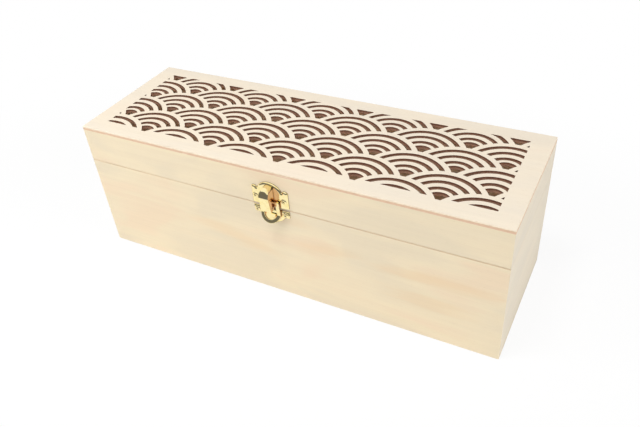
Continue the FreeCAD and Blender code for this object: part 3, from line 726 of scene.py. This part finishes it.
def screw_head(radius, field, rise):
    """Low pan head with a cross recess and its shank, on the box's front face."""
    embedded = 0.2 * MM
    wall = 0.05 * MM
    depth = embedded + wall
    bpy.ops.object.select_all(action="DESELECT")
    bpy.ops.mesh.primitive_cylinder_add(
        vertices=48, radius=radius, depth=depth, rotation=(math.radians(90.0), 0.0, 0.0),
        location=(0.0, FRONT_Y - field + embedded - depth / 2, 0.0))
    head = bpy.context.object
    bpy.ops.object.transform_apply(location=True, rotation=True, scale=True)
    bpy.ops.object.mode_set(mode="EDIT")
    mesh = bmesh.from_edit_mesh(head.data)
    bpy.ops.mesh.select_all(action="DESELECT")
    for face in mesh.faces:
        face.select_set(face.normal.y > 0.9)
    bpy.ops.mesh.inset(thickness=radius - 1.0 * MM)
    bpy.ops.mesh.extrude_region_move(TRANSFORM_OT_translate={"value": (0.0, 6.0 * MM, 0.0)})
    bpy.ops.mesh.select_all(action="DESELECT")
    mesh = bmesh.from_edit_mesh(head.data)
    for face in mesh.faces:
        face.select_set(face.normal.y < -0.9)
    share = (rise - wall) / MM / 0.55
    for width, step_up in ((0.1, 0.15), (0.3, 0.18), (0.4, 0.13), (0.4, 0.065), (0.4, 0.025)):
        bpy.ops.mesh.inset(thickness=width * MM, depth=step_up * share * MM)
    bpy.ops.object.mode_set(mode="OBJECT")
    for turn in (20.0, 110.0):
        bpy.ops.object.select_all(action="DESELECT")
        bpy.ops.mesh.primitive_cube_add(size=1.0, location=(0.0, FRONT_Y - field - rise, 0.0))
        arm = bpy.context.object
        arm.scale = (2.5 * MM, 1.3 * MM, 0.55 * MM)
        arm.rotation_euler = (0.0, math.radians(turn), 0.0)
        bpy.ops.object.transform_apply(location=True, rotation=True, scale=True)
        apply_modifier("BEVEL", width=0.12 * MM, segments=2)
        only(head)
        apply_modifier("BOOLEAN", object=arm, operation="DIFFERENCE", solver="EXACT")
        only(arm)
        bpy.ops.object.delete()
    return head


def screw_pair(node_name, field_mm):
    """Two pan-head screws in the plate of that field height."""
    sites, radius = screw_sites(node_name)
    rise = -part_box(node_name)[0].y + FRONT_Y - field_mm * MM
    first = screw_head(radius, field_mm * MM, rise)
    first.name = node_name + "_pan"
    second = bpy.data.objects.new(node_name + "_second", first.data.copy())
    scene.collection.objects.link(second)
    for screw, (across, level), turn in zip((first, second), sites, (0.0, 31.0)):
        screw.location = (0.0, 0.0, 0.0)
        only(screw)
        screw.rotation_euler = (0.0, math.radians(turn), 0.0)
        screw.location = (across, 0.0, level)
        bpy.ops.object.transform_apply(location=True, rotation=True, scale=True)
    only(first)
    second.select_set(True)
    bpy.ops.object.join()
    finish_brass(first, node_name, 30.0)


# Hood of the lever, in millimetres above the split between lid and box and out from the front

SPLIT_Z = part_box("front_panel")[1].z
HOOD_WIDTH = 7.9
HOOD_WALL = 0.8
HOOD_LIP = (0.35, 7.4)
HOOD_NOSE = (13.45, 9.3)
HOOD_BROW = (20.55, 7.55)
HOOD_BACK = 1.65
HOOD_JOIN = 12.0
TIP_MIDDLE = 16.6
DOME_FROM = 14.8
DOME_MIDDLE = (13.005, 1.685)
DOME_RADIUS = 8.477


def at_latch(rise, out, across=0.0):
    return Vector((across * MM, FRONT_Y - out * MM, SPLIT_Z + rise * MM))


def facing(first, second):
    """The direction that a sloping front face through two points of the hood looks."""
    rise, out = second[0] - first[0], second[1] - first[1]
    return Vector((0.0, -rise, -out)).normalized()


def hood_block(low, high):
    """Solid block of the hood between two heights, its front cut to the two flat facets."""
    size = Vector((HOOD_WIDTH, HOOD_NOSE[1] - HOOD_BACK, high - low)) * MM
    bpy.ops.object.select_all(action="DESELECT")
    bpy.ops.mesh.primitive_cube_add(size=1.0, location=at_latch((low + high) / 2, (HOOD_NOSE[1] + HOOD_BACK) / 2))
    block = bpy.context.object
    block.scale = size
    bpy.ops.object.transform_apply(location=True, rotation=True, scale=True)
    bpy.ops.object.mode_set(mode="EDIT")
    cut_at(at_latch(*HOOD_NOSE), facing(HOOD_NOSE, HOOD_BROW))
    cut_at(at_latch(*HOOD_NOSE), facing(HOOD_LIP, HOOD_NOSE))
    bpy.ops.object.mode_set(mode="OBJECT")
    return block


def keep_inside(block, shape):
    """Cuts a block to what lies inside another piece, which is used up."""
    only(block)
    apply_modifier("BOOLEAN", object=shape, operation="INTERSECT", solver="EXACT")
    only(shape)
    bpy.ops.object.delete()


def hood_tip():
    """The hood above its middle: round seen from the front, and domed above the upper facet."""
    block = hood_block(DOME_FROM, HOOD_BROW[0])
    low = DOME_FROM - 1.0
    bpy.ops.object.select_all(action="DESELECT")
    bpy.ops.mesh.primitive_cylinder_add(
        vertices=128, radius=HOOD_WIDTH / 2 * MM, depth=20.0 * MM, rotation=(math.radians(90.0), 0.0, 0.0),
        location=at_latch(TIP_MIDDLE, HOOD_BACK))
    outline = bpy.context.object
    bpy.ops.object.transform_apply(location=True, rotation=True, scale=True)
    bpy.ops.object.mode_set(mode="EDIT")
    cut_at(at_latch(TIP_MIDDLE, 0.0), (0.0, 0.0, -1.0))
    mesh = bmesh.from_edit_mesh(outline.data)
    bpy.ops.mesh.select_all(action="DESELECT")
    for face in mesh.faces:
        face.select_set(face.normal.z < -0.9)
    bpy.ops.mesh.extrude_region_move(
        TRANSFORM_OT_translate={"value": (0.0, 0.0, -(TIP_MIDDLE - low) * MM)})
    bpy.ops.object.mode_set(mode="OBJECT")
    keep_inside(block, outline)
    bpy.ops.object.select_all(action="DESELECT")
    bpy.ops.mesh.primitive_uv_sphere_add(segments=128, ring_count=64, radius=DOME_RADIUS * MM,
                                         location=at_latch(*DOME_MIDDLE))
    dome = bpy.context.object
    bpy.ops.object.transform_apply(location=True, rotation=True, scale=True)
    keep_inside(block, dome)
    return block


def hood_top():
    """Shell of the hood above the join, one wall thick and open at its back and below."""
    tip = hood_tip()
    middle = hood_block(HOOD_JOIN - 1.0, DOME_FROM)
    only(tip)
    middle.select_set(True)
    bpy.ops.object.join()
    bpy.ops.object.mode_set(mode="EDIT")
    bpy.ops.mesh.select_all(action="SELECT")
    bpy.ops.mesh.remove_doubles(threshold=0.01 * MM)
    bpy.ops.mesh.select_mode(type="FACE")
    bpy.ops.mesh.select_all(action="DESELECT")
    mesh = bmesh.from_edit_mesh(tip.data)
    back = at_latch(0.0, HOOD_BACK).y
    inner = at_latch(DOME_FROM, 0.0).z
    foot = at_latch(HOOD_JOIN - 1.0, 0.0).z
    for face in mesh.faces:
        middle = face.calc_center_median()
        level = abs(face.normal.z) > 0.999
        at_back = face.normal.y > 0.999 and abs(middle.y - back) < 0.02 * MM
        between = level and min(abs(middle.z - inner), abs(middle.z - foot)) < 0.02 * MM
        face.select_set(at_back or between)
    bpy.ops.mesh.delete(type="FACE")
    bpy.ops.mesh.select_all(action="SELECT")
    bpy.ops.mesh.dissolve_limited(angle_limit=math.radians(0.3))
    bpy.ops.object.mode_set(mode="OBJECT")
    apply_modifier("SOLIDIFY", thickness=HOOD_WALL * MM, offset=-1.0, use_even_offset=True)
    bpy.ops.object.mode_set(mode="EDIT")
    cut_at(at_latch(HOOD_JOIN, 0.0), (0.0, 0.0, -1.0), fill=False)
    bpy.ops.object.mode_set(mode="OBJECT")
    return tip


def lever_hood():
    lever = copy_of("latch_lever", "_polished")
    bpy.ops.object.mode_set(mode="EDIT")
    cut_at(at_latch(HOOD_JOIN, 0.0), (0.0, 0.0, 1.0), fill=False)
    bpy.ops.object.mode_set(mode="OBJECT")
    top = hood_top()
    only(lever)
    top.select_set(True)
    bpy.ops.object.join()
    bpy.ops.object.mode_set(mode="EDIT")
    bpy.ops.mesh.select_all(action="SELECT")
    bpy.ops.mesh.remove_doubles(threshold=0.07 * MM)
    bpy.ops.mesh.normals_make_consistent(inside=False)
    bpy.ops.object.mode_set(mode="OBJECT")
    round_edges(0.3, 50.0)
    finish_brass(lever, "latch_lever", 18.0)


PLATE_ROLL = [(0.0, 0.1), (0.12, 0.33), (0.3, 0.34), (0.35, 0.28), (0.35, 0.175), (0.4, 0.14), (0.25, 0.035)]
KEEPER_ROLL = [(0.0, 0.08), (0.1, 0.27), (0.22, 0.26), (0.25, 0.2), (0.3, 0.15), (0.3, 0.11), (0.2, 0.03)]
stamped_plate("latch_upper_plate", "latch_plate_screws", PLATE_ROLL, True)
stamped_plate("latch_keeper_plate", "latch_keeper_screws", KEEPER_ROLL, False)
screw_pair("latch_plate_screws", 1.4)
screw_pair("latch_keeper_screws", 1.1)
lever_hood()

EDGE_MM = {"latch_lever_pin": 0.15, "latch_bail": 0.0}
REMADE = ("latch_upper_plate", "latch_keeper_plate", "latch_plate_screws", "latch_keeper_screws", "latch_lever")
for node_name in nodes:
    if node_name.startswith(("latch_", "hinge_")) and node_name not in REMADE:
        piece = copy_of(node_name, "_polished")
        round_edges(EDGE_MM.get(node_name, 0.12))
        finish_brass(piece, node_name)

# White floor, plain soft light and a white room


def seen_directly(tree):
    """1 for what the camera, a mirror or a clear pane sees, 0 for light that falls on things."""
    path = tree.add("ShaderNodeLightPath")
    seen = tree.math("MAXIMUM", path.outputs["Is Camera Ray"], path.outputs["Is Glossy Ray"])
    return tree.math("MAXIMUM", seen, path.outputs["Is Transmission Ray"])


FLOOR_SIZE = 8.0
FLOOR_GAP = 0.00005
SHADOW_LEFT = 0.1
STUDIO_DARK = (0.16, 0.16, 0.185, 1.0)


def add_floor():
    """White sweep; metal sees it end a little way in front of the box, where the room is dim."""
    bpy.ops.mesh.primitive_plane_add(size=FLOOR_SIZE, location=(0.0, 0.0, -FLOOR_GAP))
    floor = bpy.context.object
    floor.name = "floor"
    material, tree, surface = new_material("floor_white")
    surface.inputs["Base Color"].default_value = (0.95, 0.95, 0.95, 1.0)
    surface.inputs["Roughness"].default_value = 1.0
    surface.inputs["Specular IOR Level"].default_value = 0.0
    where = tree.add("ShaderNodeSeparateXYZ")
    tree.link(place(tree), where.inputs["Vector"])
    in_front = tree.step(where.outputs["Y"], -280.0, -420.0)
    path = tree.add("ShaderNodeLightPath")
    dim = tree.math("MULTIPLY", in_front, path.outputs["Is Glossy Ray"])
    glow = tree.add("ShaderNodeEmission")
    tree.link(tree.blend(dim, (1.0, 1.0, 1.0, 1.0), STUDIO_DARK), glow.inputs["Color"])
    mix = tree.add("ShaderNodeMixShader")
    away = tree.vector("LENGTH", tree.vector("MULTIPLY", place(tree), (0.65, 1.0, 0.0)))
    shadow = tree.step(away, 330.0, 180.0, 0.0, SHADOW_LEFT)
    tree.link(tree.math("MULTIPLY", seen_directly(tree), tree.math("SUBTRACT", 1.0, shadow)), mix.inputs["Fac"])
    tree.link(surface.outputs["BSDF"], mix.inputs[1])
    tree.link(glow.outputs["Emission"], mix.inputs[2])
    output = next(node for node in tree.tree.nodes if node.type == "OUTPUT_MATERIAL")
    tree.link(mix.outputs["Shader"], output.inputs["Surface"])
    floor.data.materials.append(material)


WORLD_LEVEL = 0.42


def add_world():
    """White room; metal also sees a dim stretch low down in front of the box."""
    world = bpy.data.worlds.new("white_room")
    world.use_nodes = True
    scene.world = world
    tree = Tree(world.node_tree)
    world.node_tree.nodes.clear()
    light = tree.add("ShaderNodeBackground")
    light.inputs["Strength"].default_value = WORLD_LEVEL
    toward = tree.add("ShaderNodeTexCoord")
    split = tree.add("ShaderNodeSeparateXYZ")
    tree.link(toward.outputs["Generated"], split.inputs["Vector"])
    low = tree.step(split.outputs["Z"], 0.44, 0.32)
    in_front = tree.step(split.outputs["Y"], -0.15, -0.45)
    path = tree.add("ShaderNodeLightPath")
    dim = tree.math("MULTIPLY", tree.math("MULTIPLY", low, in_front), path.outputs["Is Glossy Ray"])
    white = tree.add("ShaderNodeBackground")
    tree.link(tree.blend(dim, (1.0, 1.0, 1.0, 1.0), STUDIO_DARK), white.inputs["Color"])
    mix = tree.add("ShaderNodeMixShader")
    tree.link(seen_directly(tree), mix.inputs["Fac"])
    tree.link(light.outputs["Background"], mix.inputs[1])
    tree.link(white.outputs["Background"], mix.inputs[2])
    output = tree.add("ShaderNodeOutputWorld")
    tree.link(mix.outputs["Shader"], output.inputs["Surface"])


def add_lamp(name, azimuth, elevation, distance, size, level):
    """Round soft lamp; level is the light that it brings to a surface facing it, 1 for white."""
    azimuth, elevation = math.radians(azimuth), math.radians(elevation)
    aim = Vector((0.0, 0.0, 0.06))
    out = Vector((
        math.sin(azimuth) * math.cos(elevation),
        -math.cos(azimuth) * math.cos(elevation),
        math.sin(elevation),
    ))
    bpy.ops.object.light_add(type="AREA", location=aim + distance * out)
    lamp = bpy.context.object
    lamp.name = name
    lamp.rotation_euler = out.to_track_quat("Z", "Y").to_euler()
    lamp.data.shape = "DISK"
    lamp.data.size = size
    lamp.data.energy = level * (math.pi * distance) ** 2
    lamp.visible_glossy = False


add_floor()
add_world()
add_lamp("overhead_lamp", -20.0, 74.0, 1.5, 0.4, 0.4)
add_lamp("key_lamp", 20.0, 38.0, 1.4, 0.3, 0.12)
add_lamp("left_lamp", -50.0, 32.0, 0.8, 0.35, 0.25)
add_lamp("right_lamp", 85.0, 20.0, 1.2, 0.5, 0.255)
